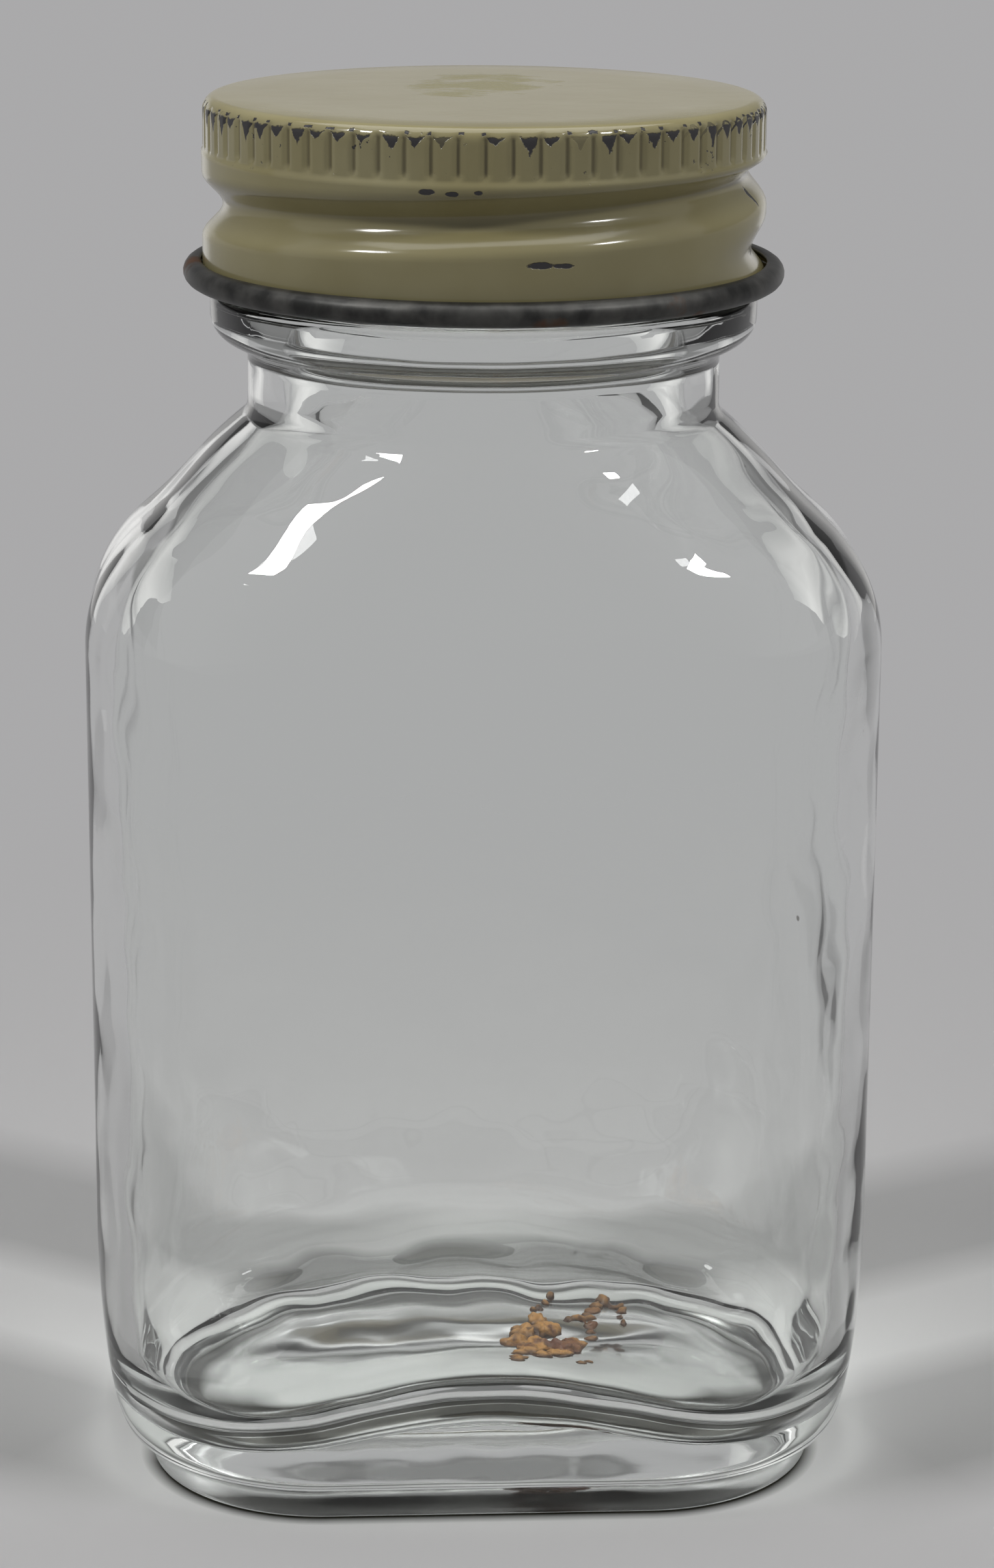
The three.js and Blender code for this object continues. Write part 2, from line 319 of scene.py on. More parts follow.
# The right wall settled in and out, and the glass was drawn up at the front and the back of the floor
inner_side = inner_wall.corner + inner_wall.spread_x
inner_front = inner_wall.corner + inner_wall.spread_y
push_glass((inner_side, 0, 27 * mm), (0.4 * mm, 0, 0), 22 * mm)
push_glass((0.86 * inner_side, 0.62 * inner_front, 29 * mm), (-0.5 * mm, -0.3 * mm, 0), 15 * mm)
push_glass((0, -inner_front, 8 * mm), (0, 0, 2.2 * mm), 18 * mm)
push_glass((0, -inner_front, 10 * mm), (0, 0, 0.8 * mm), 20 * mm)
push_glass((0, inner_front, 9 * mm), (0, 0, 2.6 * mm), 22 * mm)
push_glass((inner_side, -2.5 * mm, 51 * mm), (0.22 * mm, 0, 0), 7 * mm)

# The outside of the shoulder swells and sinks a little at the front, each by its place, move and reach
for place, out, reach in (
        ((6.6, -14.1, 65.1), (0.08, -0.22, 0.15), 6), ((10.8, -15.4, 60.5), (-0.08, 0.22, -0.15), 6),
        ((-13.7, -12.7, 61.9), (-0.04, -0.09, 0.07), 7), ((-8.7, -11.7, 66.6), (0.09, 0.18, -0.14), 5.5)):
    push_glass(Vector(place) * mm, Vector(out) * mm, reach * mm)
bpy.ops.object.mode_set(mode="OBJECT")
ripple = bpy.data.textures.new("settled_glass", type="CLOUDS")
ripple.noise_scale = 16 * mm
ripple.noise_depth = 1
settle = glass.modifiers.new("settled_glass", "DISPLACE")
settle.texture = ripple
settle.texture_coords = "LOCAL"
settle.vertex_group = "blown_inside"
settle.strength = 0.5 * mm
bpy.ops.object.modifier_apply(modifier="settled_glass")
bpy.ops.object.shade_smooth()


def colour(red, green, blue):
    """A colour as it looks on a screen, from 0 to 255, turned into the linear one that a shader takes."""
    levels = [level / 255 for level in (red, green, blue)]
    return (*[s / 12.92 if s < 0.04 else ((s + 0.055) / 1.055) ** 2.4 for s in levels], 1.0)


class Tone:
    """A shader socket that can be reckoned with as a number. node() adds any other node to its tree."""

    def __init__(self, tree, socket=None):
        self.tree = tree
        self.socket = socket

    def node(self, kind, settings=None, sockets=None, output=0):
        made = self.tree.nodes.new("ShaderNode" + kind)
        for name, value in (settings or {}).items():
            setattr(made, name, value)
        for name, value in (sockets or {}).items():
            self.plug(made.inputs[name], value)
        return Tone(self.tree, made.outputs[output])

    def plug(self, target, value):
        if isinstance(value, Tone):
            self.tree.links.new(value.socket, target)
        else:
            target.default_value = value

    def other(self, output):
        """Another output of the same node."""
        return Tone(self.tree, self.socket.node.outputs[output])

    def math(self, operation, *others):
        return self.node("Math", {"operation": operation}, dict(enumerate((self, *others))))

    def ramp(self, low, high):
        """Rises from 0 to 1 between two values."""
        return self.node("MapRange", {}, {"Value": self, "From Min": low, "From Max": high})

    def mix(self, first, second):
        """The first colour where this is 0 and the second where it is 1."""
        return self.node("Mix", {"data_type": "RGBA"}, {0: self, 6: first, 7: second}, output=2)

    def __add__(self, other):
        return self.math("ADD", other)

    def __sub__(self, other):
        return self.math("SUBTRACT", other)

    def __rsub__(self, other):
        return self.node("Math", {"operation": "SUBTRACT"}, {0: other, 1: self})

    def __mul__(self, other):
        return self.math("MULTIPLY", other)

    def __truediv__(self, other):
        return self.math("DIVIDE", other)

    __radd__ = __add__
    __rmul__ = __mul__


def new_finish(name, **settings):
    """A material with plain settings on its shader: the material, the shader and a Tone to draw with."""
    material = bpy.data.materials.new(name)
    material.use_nodes = True
    shader = material.node_tree.nodes["Principled BSDF"]
    for socket, value in settings.items():
        shader.inputs[socket.replace("_", " ")].default_value = value
    return material, shader, Tone(material.node_tree)


def within_foot(place):
    """How far inside the edge of the foot a place lies, in millimetres, seen from above."""
    x = place.node("SeparateXYZ", {}, {"Vector": place})
    past_x = (x.math("ABSOLUTE") - foot.spread_x).math("MAXIMUM", 0)
    past_y = (x.other("Y").math("ABSOLUTE") - foot.spread_y).math("MAXIMUM", 0)
    return (foot.corner - (past_x * past_x + past_y * past_y).math("SQRT")) / mm


def clear_glass():
    material, shader, tone = new_finish("clear_glass", Transmission_Weight=1.0, IOR=1.52)
    place = tone.node("TexCoord", output="Object")

    # Handling has left faint smears, and a few specks of dirt stick to the glass
    smear = tone.node("TexNoise", {}, {"Vector": place, "Scale": 90.0, "Detail": 5.0})
    speck = tone.node("TexVoronoi", {}, {"Vector": place, "Scale": 130.0, "Randomness": 1.0})
    rare = speck.other("Color").node("SeparateColor", {}, {"Color": speck.other("Color")})
    spot = (1 - speck.ramp(0.018, 0.03)) * rare.ramp(0.84, 0.85)

    # The foot is worn dull where it stands and the sole is a little rough. Its front is made dark and
    # metal-like, as painted shade under the foot
    x = tone.node("SeparateXYZ", {}, {"Vector": place})
    height = x.other("Z") / mm
    front = 0 - x.other("Y") / mm
    inside = within_foot(place)
    worn = 1 - height.ramp(0.1, 0.5)
    under = (1 - height.ramp(1.4, 1.8)) * inside.ramp(0.4, 1.0)
    # Painted shade: a dark, metal-like strip at the front of the sole
    dark_sole_shade = (1 - height.ramp(0.5, 0.8)) * inside.ramp(1.3, 1.7) * front.ramp(8.0, 9.5)
    clear = dark_sole_shade.mix((0.99, 1.0, 0.993, 1), (0.1, 0.1, 0.092, 1))
    tone.plug(shader.inputs["Metallic"], dark_sole_shade)
    tone.plug(shader.inputs["Base Color"], spot.mix(clear, colour(70, 66, 60)))
    tone.plug(shader.inputs["Roughness"], smear.ramp(0.62, 0.9) * 0.06 + worn * 0.12 + under * 0.1)
    mould = tone.node("TexNoise", {}, {"Vector": place, "Scale": 150.0, "Detail": 1.0})
    uneven = tone.node("Bump", {}, {"Strength": 0.3, "Distance": 0.0006, "Height": mould})
    tone.plug(shader.inputs["Normal"], uneven)

    # Light goes through to the table, a little dimmed
    output = material.node_tree.nodes["Material Output"]
    body = Tone(material.node_tree, shader.outputs["BSDF"])
    shade = tone.node("BsdfTransparent", {}, {"Color": (0.86, 0.87, 0.86, 1)})
    is_shadow = tone.node("LightPath", output="Is Shadow Ray")
    tone.plug(output.inputs["Surface"], tone.node("MixShader", {}, {0: is_shadow, 1: body, 2: shade}))
    tint = tone.node("VolumeAbsorption", {}, {"Color": (0.72, 0.84, 0.76, 1), "Density": 4.0})
    tone.plug(output.inputs["Volume"], tint)
    return material


glass.data.materials.append(clear_glass())
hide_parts("glass_bottle")
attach(glass, "bottle")

# The screw cap is drawn from one disc of thin tinplate, enamelled cream outside and left bare inside.
# Its band is knurled, its thread is rolled in, and its foot is curled outwards, so that the bare
# inside of the sheet shows on the curl.
cap_low, cap_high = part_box("screw_cap")
cap_top = cap_high[2] - 0.002 * mm
sheet = 0.3 * mm
skirt_radius = 16.85 * mm
band_radius = 16.75 * mm
cap_edge_round = 0.8 * mm
band_foot = cap_top - 3.1 * mm
knurl_count = 68
knurl_depth = 0.24 * mm
knurl_half_width = 0.27 * mm
knurl_top = cap_top - 0.35 * mm
knurl_foot = cap_top - 3.0 * mm
knurl_run_out = 0.35 * mm
groove_depth = 1.25 * mm
groove_fade = 1 * mm
groove_turns = 1.28
groove_below_thread = 1.7 * mm
groove_start = math.radians(-50)
groove_climb = thread_pitch * (groove_start - thread.start) / (2 * math.pi)
groove = Helix(
    start=groove_start, length=groove_turns * 2 * math.pi,
    start_height=thread.start_height - groove_below_thread + groove_climb,
    width=3.8 * mm, run_out=math.radians(65))
curl_outer = (cap_high[0] - (skirt_radius - sheet)) / 2
curl_inner = curl_outer - sheet
curl_centre = skirt_radius + curl_inner
curl_height = cap_low[2] + curl_outer
curl_turn = math.radians(300)

cap_points = knurl_count * 8
cap_middle = Ring(cap_top, 0.5 * mm)
cap = start_piece("screw_cap_shell", cap_points, cap_middle)
rim = draw_wall(cap, cap_middle, [
    Ring(cap_top, between(0.5 * mm, band_radius - cap_edge_round, share)) for share in shares(6)])
cap_edge = quarter(band_radius - cap_edge_round, cap_top - cap_edge_round, cap_edge_round, 0, 7)
rim = draw_wall(cap, rim, cap_edge[-2::-1])
rim = draw_wall(cap, rim, straight(rim, band_foot, 13))
rim = draw_wall(cap, rim, [Ring(band_foot - 0.1 * mm, skirt_radius)])
rim = draw_wall(cap, rim, straight(rim, curl_height, 28))
curl_turns = [math.pi + curl_turn * share for share in shares(16)]
draw_wall(cap, rim, [
    Ring(curl_height + curl_inner * math.sin(turn), curl_centre + curl_inner * math.cos(turn))
    for turn in curl_turns])
choose(cap, lambda point: point.co.xy.length < 0.6 * mm)
close_middle()
bpy.ops.mesh.select_all(action="SELECT")
bpy.ops.mesh.normals_make_consistent(inside=False)


def eased(value):
    """A soft rise from 0 to 1."""
    held = min(max(value, 0), 1)
    return held * held * (3 - 2 * held)


# The thread is rolled into the skirt, and the nicks of the knurl into the band
mesh = bmesh.from_edit_mesh(cap.data)
for point in mesh.verts:
    radius = point.co.xy.length
    angle = math.atan2(point.co.y, point.co.x)
    if radius < 15 * mm or (point.co.z < curl_height + curl_outer and radius > skirt_radius + 0.01 * mm):
        continue
    fade = eased((band_foot - point.co.z) / groove_fade)
    press = groove_depth * fade * helix_share(groove, angle, point.co.z)
    pitch = angle / (2 * math.pi) * knurl_count
    aside = abs(pitch - math.floor(pitch) - 0.5) * 2 * math.pi * band_radius / knurl_count
    along = min(
        eased((knurl_top - point.co.z) / knurl_run_out), eased((point.co.z - knurl_foot) / knurl_run_out))
    press += knurl_depth * along * (1 - eased(aside / knurl_half_width))
    point.co.xy *= 1 - press / radius
bmesh.update_edit_mesh(cap.data)
bpy.ops.object.mode_set(mode="OBJECT")


def enamel():
    material, shader, tone = new_finish("cream_enamel", IOR=1.5)
    place = tone.node("TexCoord", output="Object")
    x = tone.node("SeparateXYZ", {}, {"Vector": place})
    y = x.other("Y")
    below = (cap_top - x.other("Z")) / mm
    ragged = tone.node("TexNoise", {}, {"Vector": place, "Scale": 2600.0, "Detail": 3.0})
    patchy = tone.node("TexNoise", {}, {"Vector": place, "Scale": 330.0, "Detail": 3.0})

    # The enamel is knocked off the head of each land of the knurl, and off the rim between
    pitch = y.math("ARCTAN2", x) * (knurl_count / (2 * math.pi))
    land = pitch.math("ROUND")
    aside = (pitch - land).math("ABSOLUTE")
    luck = tone.node("TexWhiteNoise", {"noise_dimensions": "1D"}, {"W": land})
    chance = tone.node("SeparateColor", {}, {"Color": luck.other("Color")})
    depth = (below - 0.55) / (0.5 + 0.75 * luck)
    from_middle = (pitch - land - 0.3 * (chance - 0.5)).math("ABSOLUTE")
    chip = (0.36 * (1 - depth) - from_middle + (ragged - 0.5) * 0.3).ramp(0.0, 0.04)
    chip = chip * (below + (ragged - 0.5) * 0.4).ramp(0.52, 0.6) * chance.other("Green").ramp(0.05, 0.07)
    arch = 1 - ((below - 0.42 - 3.2 * aside * aside) / 0.1).math("ABSOLUTE") + (ragged - 0.5) * 2.4
    chip = chip.math("MAXIMUM", arch.ramp(0.0, 0.3) * (x / mm).ramp(10.0, 14.0))
    dash = 1 - ((below - 0.36 + (ragged - 0.5) * 0.3) / 0.09).math("ABSOLUTE")
    dash = dash.ramp(0.0, 0.3) * (aside + (ragged - 0.5) * 0.3).ramp(0.3, 0.34)
    dash = dash * chance.other("Blue").ramp(0.45, 0.5)
    chip = chip.math("MAXIMUM", dash)
    nick = (1 - (0.5 - aside).ramp(0.02, 0.1)) * below.ramp(0.5, 0.7) * (1 - below.ramp(2.5, 2.9))
    speck = (ragged + 0.6 * patchy).ramp(1.02, 1.06) * below.ramp(0.25, 0.5) * (1 - below.ramp(2.2, 3.4))

    # Single chips lower down on the skirt, each by its angle, depth below the top, width and height
    angle = y.math("ARCTAN2", x) * (180 / math.pi)
    for where, down, wide, tall in (
            (-104, 3.6, 1.5, 0.16), (-99, 3.7, 1.2, 0.14), (-94, 3.6, 0.8, 0.13), (-82, 7.7, 2.6, 0.2),
            (-77.5, 7.75, 2.0, 0.14), (-18, 5.4, 0.9, 0.5), (-17, 8.6, 1.0, 0.3)):
        across = (angle - where) / wide
        along = (below - down) / tall
        single = 1.2 - across * across - along * along + (ragged - 0.5) * 2
        chip = chip.math("MAXIMUM", single.ramp(0.0, 0.4))
    chip = chip.math("MAXIMUM", speck)

    # A rubbed patch on the top has lost its gloss
    over_x = (x / mm - 0.2) / 4.2
    over_y = (y / mm - 4.6 - 0.5 * x / mm) / 6.5
    rubbed = (1.0 - over_x * over_x - over_y * over_y + (patchy - 0.5) * 4.0).ramp(0.0, 0.9)
    rubbed = rubbed * (1 - below.ramp(0.0, 0.1))
    mottle = tone.node("TexNoise", {}, {"Vector": place, "Scale": 160.0, "Detail": 4.0})
    cream = mottle.ramp(0.3, 0.7).mix(colour(154, 145, 104), colour(162, 154, 116))
    cream = (rubbed * 0.6).mix(cream, colour(142, 136, 88))
    cream = (nick * 0.75).mix(cream, colour(96, 88, 60))
    tone.plug(shader.inputs["Base Color"], chip.mix(cream, colour(50, 48, 50)))
    tone.plug(shader.inputs["Roughness"], 0.14 + 0.3 * chip + 0.12 * rubbed)
    relief = patchy * 0.35 - chip + rubbed * ragged
    worn = tone.node("Bump", {}, {"Strength": 0.5, "Distance": 0.0001, "Height": relief})
    tone.plug(shader.inputs["Normal"], worn)
    return material


def bare_tinplate():
    material, shader, tone = new_finish("bare_tinplate", Metallic=0.85)
    place = tone.node("TexCoord", output="Object")
    x = tone.node("SeparateXYZ", {}, {"Vector": place})
    y = x.other("Y")
    grime = tone.node("TexNoise", {}, {"Vector": place, "Scale": 520.0, "Detail": 6.0})
    rust = tone.node("TexNoise", {}, {"Vector": place, "Scale": 190.0, "Detail": 5.0})
    outward = (x * x + y * y).math("SQRT") / mm
    on_curl = outward.ramp(16.7, 17.0)
    bright = grime.ramp(0.3, 0.7).mix(colour(176, 174, 168), colour(206, 204, 198))
    dull = grime.ramp(0.35, 0.8).mix(colour(50, 50, 49), colour(98, 97, 94))
    steel = on_curl.mix(bright, dull)
    left_end = (0 - x / mm).ramp(9.0, 17.0)
    rusty = (rust + 0.1 * left_end).ramp(0.7, 0.78)
    tone.plug(shader.inputs["Base Color"], rusty.mix(steel, colour(94, 64, 44)))
    tone.plug(shader.inputs["Roughness"], 0.3 + 0.3 * grime + 0.2 * rusty)
    pitted = tone.node("Bump", {}, {"Strength": 0.4, "Distance": 0.0001, "Height": grime})
    tone.plug(shader.inputs["Normal"], pitted)
    return material


cap.data.materials.append(enamel())
cap.data.materials.append(bare_tinplate())
wall = cap.modifiers.new("sheet", "SOLIDIFY")
wall.thickness = sheet
wall.offset = -1
wall.material_offset = 1
wall.material_offset_rim = 1
bpy.ops.object.modifier_apply(modifier="sheet")
bpy.ops.object.shade_smooth()
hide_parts("screw_cap")
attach(cap, "cap")

# The liner board is a disc of grey-brown pulpboard, punched out and pressed into the top of the cap.
# It stays there by its snug fit, and is squeezed when the cap is screwed down.
board_low, board_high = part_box("liner_board")


def punched_disc(name, low, high, edge, rings):
    """A disc punched from sheet, drawn from the middle of its top round its edge to the middle below."""
    radius = high[0]
    least = 0.4 * mm
    middle = Ring(high[2], least)
    disc = start_piece(name, 96, middle)
    rim = draw_wall(disc, middle, [
        Ring(high[2], between(least, radius - edge, share)) for share in shares(rings)])
    rim = draw_wall(disc, rim, quarter(radius - edge, high[2] - edge, edge, 0, 3)[-2::-1])
    rim = draw_wall(disc, rim, quarter(radius - edge, low[2] + edge, edge, -1, 3)[::-1])
    draw_wall(disc, rim, [
        Ring(low[2], between(radius - edge, least, share)) for share in shares(rings)])
    for side in (high[2], low[2]):
        choose(disc, lambda point: point.co.xy.length < 0.5 * mm and abs(point.co.z - side) < 1e-6)
        close_middle()
    bpy.ops.mesh.select_all(action="SELECT")
    bpy.ops.mesh.normals_make_consistent(inside=False)
    return disc


board = punched_disc("pulpboard_disc", board_low, board_high, 0.15 * mm, 10)
bpy.ops.object.mode_set(mode="OBJECT")
bpy.ops.object.shade_smooth()


def pulpboard():
    material, shader, tone = new_finish("pulpboard", Roughness=0.92)
    place = tone.node("TexCoord", output="Object")
    fibre = tone.node("TexNoise", {}, {"Vector": place, "Scale": 900.0, "Detail": 6.0})
    fleck = tone.node("TexVoronoi", {}, {"Vector": place, "Scale": 700.0})
    tint = fibre.ramp(0.3, 0.7).mix(colour(166, 148, 118), colour(198, 182, 150))
    tone.plug(shader.inputs["Base Color"], (1 - fleck.ramp(0.05, 0.2)).mix(tint, colour(120, 100, 76)))
    pressed = tone.node("Bump", {}, {"Strength": 0.6, "Distance": 0.0001, "Height": fibre})
    tone.plug(shader.inputs["Normal"], pressed)
    return material


board.data.materials.append(pulpboard())
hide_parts("liner_board")
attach(board, "liner")

# The facing is a disc of varnished paper glued under the board. The lip of the bottle has left its
# ring printed in it.
facing_low, facing_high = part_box("liner_facing")
lip_print_radius = (bore_radius + finish_radius) / 2
lip_print_half_width = 1.2 * mm
lip_print_depth = 0.06 * mm
facing = punched_disc("paper_facing", facing_low, facing_high, 0.05 * mm, 40)
mesh = bmesh.from_edit_mesh(facing.data)
for point in mesh.verts:
    across = abs(point.co.xy.length - lip_print_radius) / lip_print_half_width
    if point.co.z < facing_low[2] + 0.01 * mm and across < 1:
        point.co.z += lip_print_depth * math.cos(across * math.pi / 2) ** 2
bmesh.update_edit_mesh(facing.data)
bpy.ops.object.mode_set(mode="OBJECT")
bpy.ops.object.shade_smooth()


def varnished_paper():
    material, shader, tone = new_finish("varnished_paper", IOR=1.45)
    place = tone.node("TexCoord", output="Object")
    x = tone.node("SeparateXYZ", {}, {"Vector": place})
    y = x.other("Y")
    outward = (x * x + y * y).math("SQRT")
    ring = 1 - ((outward - lip_print_radius) / lip_print_half_width).math("ABSOLUTE").ramp(0.7, 1.0)
    stain = tone.node("TexNoise", {}, {"Vector": place, "Scale": 240.0, "Detail": 5.0})
    paper = stain.ramp(0.35, 0.7).mix(colour(232, 222, 194), colour(214, 196, 156))
    tone.plug(shader.inputs["Base Color"], (ring * 0.5).mix(paper, colour(176, 150, 106)))
    tone.plug(shader.inputs["Roughness"], 0.35 + 0.25 * stain)
    return material


facing.data.materials.append(varnished_paper())
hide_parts("liner_facing")
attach(facing, "liner")

# The residue is a brown crust of what the bottle once held, dried fast to the glass floor. It is
# dirt and no made part. Each lump is laid on the floor where it lies, by its place and its size.
crust_lumps = [
    (2.4, 1.2, 0.8), (3.0, 2.8, 0.85), (3.9, 0.6, 1.0), (3.2, -0.6, 0.9), (4.2, 4.8, 0.85),
    (4.6, 3.4, 0.95), (5.6, 0.4, 1.1), (6.2, 1.4, 0.9), (5.2, -1.2, 0.9), (3.9, -2.2, 0.75),
    (2.6, -1.8, 0.65), (4.0, 6.9, 0.3), (4.6, 8.0, 0.35), (5.2, 9.2, 0.3), (5.5, 10.1, 0.32),
    (4.3, 7.4, 0.3), (6.4, 5.6, 0.32), (7.1, 6.0, 0.38), (7.6, 6.6, 0.45), (8.0, 7.8, 0.45),
    (8.3, 9.0, 0.45), (8.9, 9.9, 0.45), (9.5, 9.4, 0.4), (9.8, 8.4, 0.36), (9.7, 7.2, 0.32),
    (9.9, 6.3, 0.34), (7.6, 5.2, 0.36), (7.6, 4.2, 0.32), (7.5, 3.1, 0.4), (2.2, -3.4, 0.42),
    (2.3, -4.2, 0.5), (2.0, -4.9, 0.35), (6.7, -3.2, 0.28), (6.4, -4.0, 0.3),
]
lumps = []
for along, back, size in crust_lumps:
    _, spot, _, _ = glass.ray_cast(Vector((along, back, 30)) * mm, Vector((0, 0, -1)))
    bpy.ops.object.select_all(action="DESELECT")
    bpy.ops.mesh.primitive_ico_sphere_add(subdivisions=3, radius=size * mm, location=spot)
    lump = bpy.context.object
    bpy.ops.transform.resize(value=(1.1, 1.1, 0.8))
    lumps.append(lump)
bpy.ops.object.select_all(action="DESELECT")
for lump in lumps:
    lump.select_set(True)
bpy.context.view_layer.objects.active = lumps[0]
bpy.ops.object.join()
crust = bpy.context.object
crust.name = "dried_residue"
crust.data.name = "dried_residue"
bpy.ops.object.transform_apply(location=True, rotation=True, scale=True)
weld = crust.modifiers.new("weld", "REMESH")
weld.mode = "VOXEL"
weld.voxel_size = 0.11 * mm
bpy.ops.object.modifier_apply(modifier="weld")
crumbs = bpy.data.textures.new("crumbs", type="CLOUDS")
crumbs.noise_scale = 0.7 * mm
crumbs.noise_depth = 2
crumble = crust.modifiers.new("crumble", "DISPLACE")
crumble.texture = crumbs
crumble.texture_coords = "LOCAL"
crumble.strength = 0.9 * mm
crumble.mid_level = 0.55
bpy.ops.object.modifier_apply(modifier="crumble")
bpy.ops.object.shade_smooth()
stands = crust.data.attributes.new("stands", "FLOAT", "POINT")
for point in crust.data.vertices:
    _, spot, _, _ = glass.ray_cast(point.co + Vector((0, 0, 5 * mm)), Vector((0, 0, -1)))
    stands.data[point.index].value = (point.co.z - spot.z) / mm


def dried_crust():
    material, shader, tone = new_finish("dried_crust", IOR=1.5)
    place = tone.node("TexCoord", output="Object")
    lump = tone.node("TexNoise", {}, {"Vector": place, "Scale": 420.0, "Detail": 4.0})
    grain = tone.node("TexNoise", {}, {"Vector": place, "Scale": 1900.0, "Detail": 3.0})
    x = tone.node("SeparateXYZ", {}, {"Vector": place})
    stands = tone.node("Attribute", {"attribute_name": "stands"}, output="Fac")
    # The crust is darker where it lies low on the floor and golden where it stands higher
    brown = (stands + (lump - 0.5) * 0.9).ramp(0.1, 0.5).mix(colour(66, 42, 22), colour(164, 120, 62))
    brown = lump.ramp(0.55, 0.62).mix(brown, colour(96, 60, 30))
    off_x = x / mm - 5.7
    off_y = x.other("Y") / mm - 0.6
    red = (off_x * off_x + off_y * off_y).ramp(2.2, 0.8)
    brown = (red * 0.8).mix(brown, colour(92, 52, 32))
    tone.plug(shader.inputs["Base Color"], (grain.ramp(0.58, 0.7) * 0.7).mix(brown, colour(52, 32, 20)))
    tone.plug(shader.inputs["Roughness"], 0.2 + 0.4 * grain)
    return material


crust.data.materials.clear()
crust.data.materials.append(dried_crust())
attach(crust, "bottle")

# The table is a sheet of white paper that sweeps up behind the bottle. The shade under the bottle and
# beside it is painted on the paper, and away from the bottle the sheet is an even pale backdrop.
backdrop_pale = (0.402, 0.399, 0.404, 1)
backdrop_top = (0.2, 0.2, 0.2, 1)
black = (0.0, 0.0, 0.0, 1)
bpy.ops.object.select_all(action="DESELECT")
bpy.ops.mesh.primitive_plane_add(size=8, location=(0, -3.6, 0))
floor = bpy.context.object
floor.name = "floor_sweep"
bpy.ops.object.transform_apply(location=True, rotation=True, scale=True)
bpy.ops.object.mode_set(mode="EDIT")
choose(floor, lambda point: point.co.y > 0)
bpy.ops.mesh.extrude_region_move(TRANSFORM_OT_translate={"value": (0, 0, 0.9)})
mesh = bmesh.from_edit_mesh(floor.data)
for edge in mesh.edges:
    edge.select = all(point.co.y > 0 and point.co.z < 0.1 for point in edge.verts)
mesh.select_mode = {"EDGE"}
mesh.select_flush_mode()
bmesh.update_edit_mesh(floor.data)
bpy.ops.mesh.bevel(offset=0.25, segments=24, affect="EDGES")
bpy.ops.object.mode_set(mode="OBJECT")
bpy.ops.object.shade_smooth()


def paper_sweep():
    material, shader, tone = new_finish(
        "paper_sweep", Roughness=0.8, Emission_Strength=1.0, Specular_IOR_Level=0.0)
    material.cycles.emission_sampling = "NONE"
    place = tone.node("TexCoord", output="Object")
    x = tone.node("SeparateXYZ", {}, {"Vector": place})
    along = x / mm
    back = x.other("Y") / mm
    inside = within_foot(place)
    cloud = tone.node("TexNoise", {}, {"Vector": place, "Scale": 9.0, "Detail": 2.0})
    shade = colour(120, 119, 119)
    paper = cloud.ramp(0.3, 0.7).mix(colour(212, 211, 211), colour(216, 215, 215))
    # Painted shade: the paper turns a little darker behind the bottle
    paper = (back.ramp(5.0, 35.0) * 0.13).mix(paper, shade)

    # The bottle bends the light of each front lamp away from two bands of the table beside it
    for lamp_x, lamp_y in ((0.887, 0.462), (-0.82, 0.574)):
        across = (back * lamp_x - along * lamp_y).math("ABSOLUTE")
        past = along * lamp_x + back * lamp_y
        bent = across.ramp(4.0, 9.0) * (1 - across.ramp(20.0, 27.0))
        bent = bent * past.ramp(12.0, 22.0) * (1 - past.ramp(55.0, 90.0))
        paper = (bent * 0.45).mix(paper, shade)

    # Little light comes under the foot, and to a strip behind the heel
    dim = inside.ramp(-0.8, 0.2) * (1 - inside.ramp(6.5, 9.5)) * (0 - back).ramp(-2.0, 5.0)
    dim = dim.math("MAXIMUM", inside.ramp(-0.6, 0.4) * (1 - inside.ramp(1.6, 3.0)))
    dim = dim.math("MAXIMUM", inside.ramp(0.0, 2.0) * (0.12 + 0.2 * along.ramp(3.0, 13.0)))
    behind = inside.ramp(-10.0, -7.0) * (1 - inside.ramp(-5.5, -2.5)) * back.ramp(4.0, 12.0) * 0.7
    behind = behind * (1 - along.math("ABSOLUTE").ramp(12.0, 19.0))
    paper = dim.math("MAXIMUM", behind).mix(paper, colour(34, 33, 28))

    # Away from the bottle the sheet is seen as one even pale colour. Unseen rays find plain paper there
    path = tone.node("LightPath", output="Is Camera Ray")
    is_seen = (path + path.other("Is Glossy Ray") + path.other("Is Transmission Ray")).math("MINIMUM", 1)
    height = x.other("Z") / mm
    away = (along * along + back * back + height * height).math("SQRT").ramp(30.0, 150.0) * is_seen
    pale = height.ramp(140.0, 165.0).mix(backdrop_pale, backdrop_top)
    paper = is_seen.mix(colour(184, 183, 182), paper)
    tone.plug(shader.inputs["Base Color"], away.mix(paper, black))
    tone.plug(shader.inputs["Emission Color"], away.mix(black, pale))
    return material


floor.data.materials.append(paper_sweep())

# Two white panels stand at the back beside the picture. The edges of the glass and the cap mirror them,
# and they throw no light or shadow of their own on the table.
panel_back = 330 * mm
panel_height = 140 * mm


def white_panel(name, near, out):
    material, shader, tone = new_finish(name, Emission_Strength=1.0)
    place = tone.node("TexCoord", output="Object")
    x = tone.node("SeparateXYZ", {}, {"Vector": place})
    wash = tone.node("TexNoise", {}, {"Vector": place, "Scale": 12.0})
    white = wash.ramp(0.2, 0.8).mix((0.78, 0.77, 0.76, 1), (0.86, 0.85, 0.84, 1))
    middle = 1 - ((x / mm - (near + out) / 2) / (abs(out - near) / 2)).math("ABSOLUTE").ramp(0.3, 1.0)
    fade = middle * (1 - x.other("Z").ramp(0.08, 0.14))
    tone.plug(shader.inputs["Emission Color"], fade.mix((0.45, 0.45, 0.45, 1), white))
    tone.plug(shader.inputs["Base Color"], (0.05, 0.05, 0.05, 1))
    return material


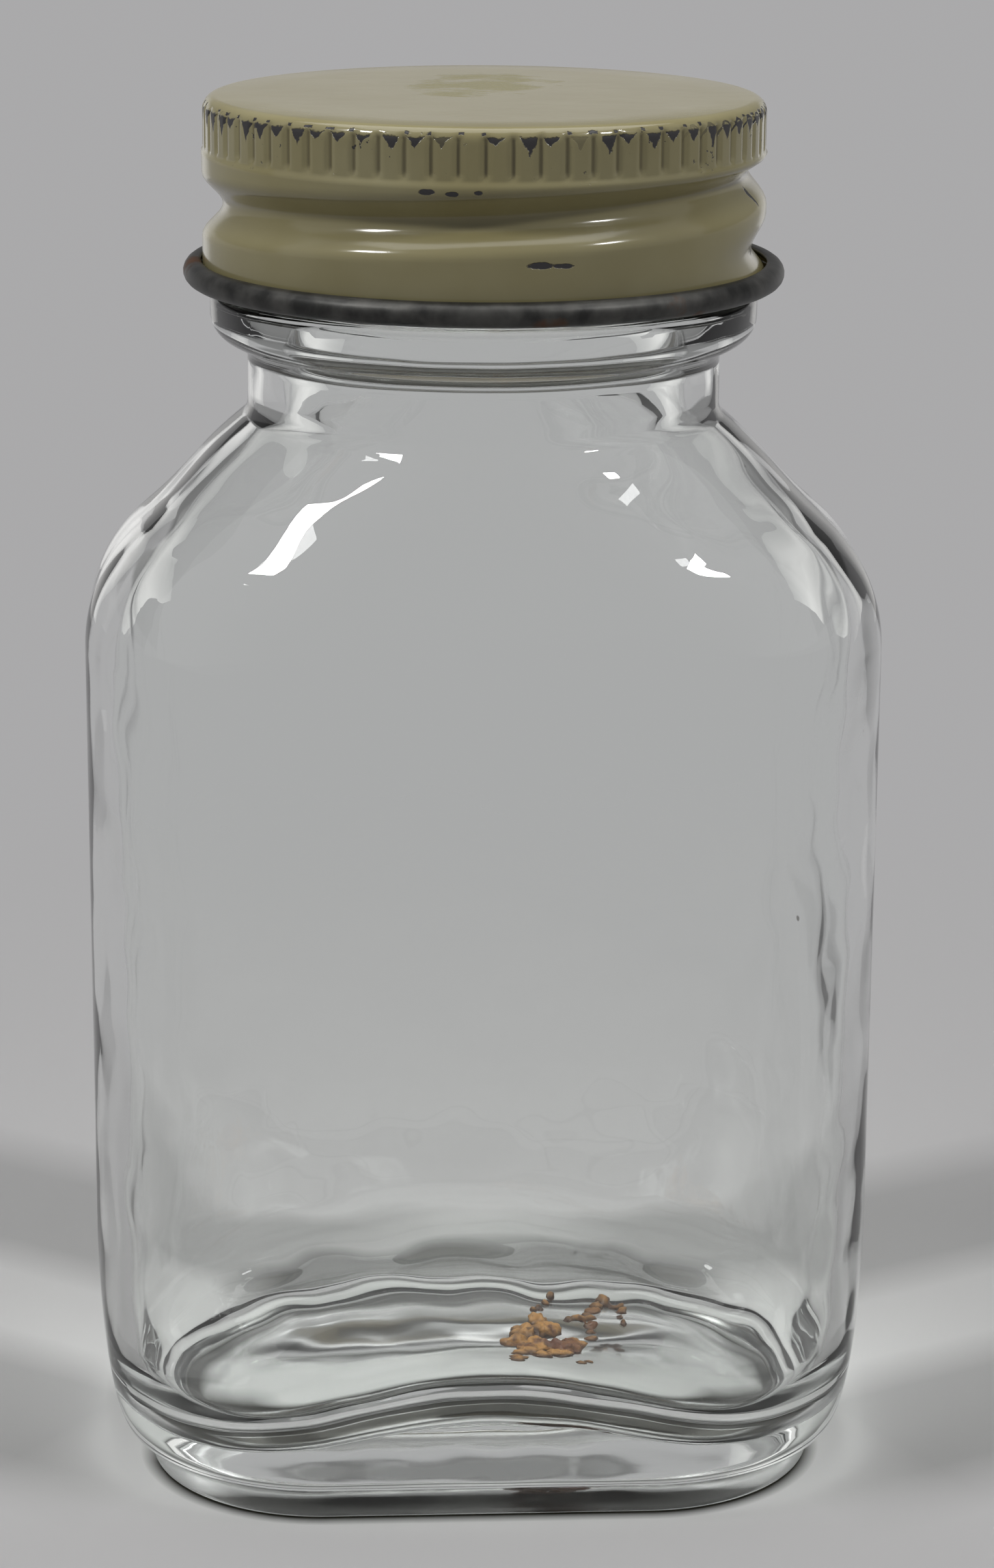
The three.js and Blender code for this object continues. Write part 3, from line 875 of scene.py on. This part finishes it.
for name, near, out in (("left_panel", -60, -200), ("right_panel", 105, 250)):
    bpy.ops.object.select_all(action="DESELECT")
    middle = Vector(((near + out) / 2 * mm, panel_back, panel_height / 2))
    bpy.ops.mesh.primitive_plane_add(size=1, location=middle, rotation=(math.pi / 2, 0, 0))
    panel = bpy.context.object
    panel.name = name
    panel.scale = (abs(out - near) * mm, panel_height, 1)
    bpy.ops.object.transform_apply(location=True, rotation=True, scale=True)
    panel.data.materials.append(white_panel(name, near, out))
    panel.visible_camera = False
    panel.visible_diffuse = False
    panel.visible_shadow = False

# Two small lamps stand in front to the left and right, and a wide soft one hangs above. The room
# round them is dim, with paler sides, and shows as the same pale backdrop in the picture.
lamp_target = Vector((0, 0, 45 * mm))


def hang_lamp(name, place, width, height, power):
    bpy.ops.object.light_add(type="AREA", location=place)
    lamp = bpy.context.object
    lamp.name = name
    lamp.data.shape = "RECTANGLE"
    lamp.data.size = width
    lamp.data.size_y = height
    lamp.data.energy = power
    lamp.rotation_euler = (lamp_target - Vector(place)).to_track_quat("-Z", "Y").to_euler()


hang_lamp("left_lamp", (-0.215, -0.112, 0.32), 0.065, 0.035, 0.38)
hang_lamp("right_lamp", (0.2, -0.14, 0.31), 0.05, 0.024, 0.26)
hang_lamp("soft_lamp", (0, 0.16, 0.8), 0.9, 0.9, 5.0)
world = bpy.data.worlds.new("room")
world.use_nodes = True
tone = Tone(world.node_tree)
towards = tone.node("SeparateXYZ", {}, {"Vector": tone.node("TexCoord", output="Generated")})
fill = towards.math("ABSOLUTE").ramp(0.4, 0.9).mix((0.02, 0.02, 0.02, 1), (0.2, 0.2, 0.2, 1))
seen = (0 - towards.other("Y")).ramp(0.3, 0.9).mix((0.55, 0.55, 0.55, 1), (0.42, 0.42, 0.42, 1))
path = tone.node("LightPath", output="Is Camera Ray")
seen = path.mix(seen, backdrop_pale)
is_seen = (path + path.other("Is Glossy Ray") + path.other("Is Transmission Ray")).math("MINIMUM", 1)
tone.plug(world.node_tree.nodes["Background"].inputs["Color"], is_seen.mix(fill, seen))
bpy.context.scene.world = world

# The camera looks down on the bottle from the front, a little to the left.
camera_place = Vector((-12.9, -250.6, 114.0)) * mm
camera_pan = math.radians(-3.17)
camera_tilt = math.radians(74.23)
camera_roll = math.radians(0.35)
bpy.ops.object.camera_add()
camera = bpy.context.object
camera.matrix_world = (
    Matrix.Translation(camera_place) @ Matrix.Rotation(camera_pan, 4, "Z")
    @ Matrix.Rotation(camera_tilt, 4, "X") @ Matrix.Rotation(camera_roll, 4, "Z"))
camera.data.sensor_fit = "VERTICAL"
camera.data.sensor_height = 36
camera.data.lens = 96.37
camera.data.clip_start = 0.01
bpy.context.scene.camera = camera
bpy.context.scene.view_settings.view_transform = "Standard"
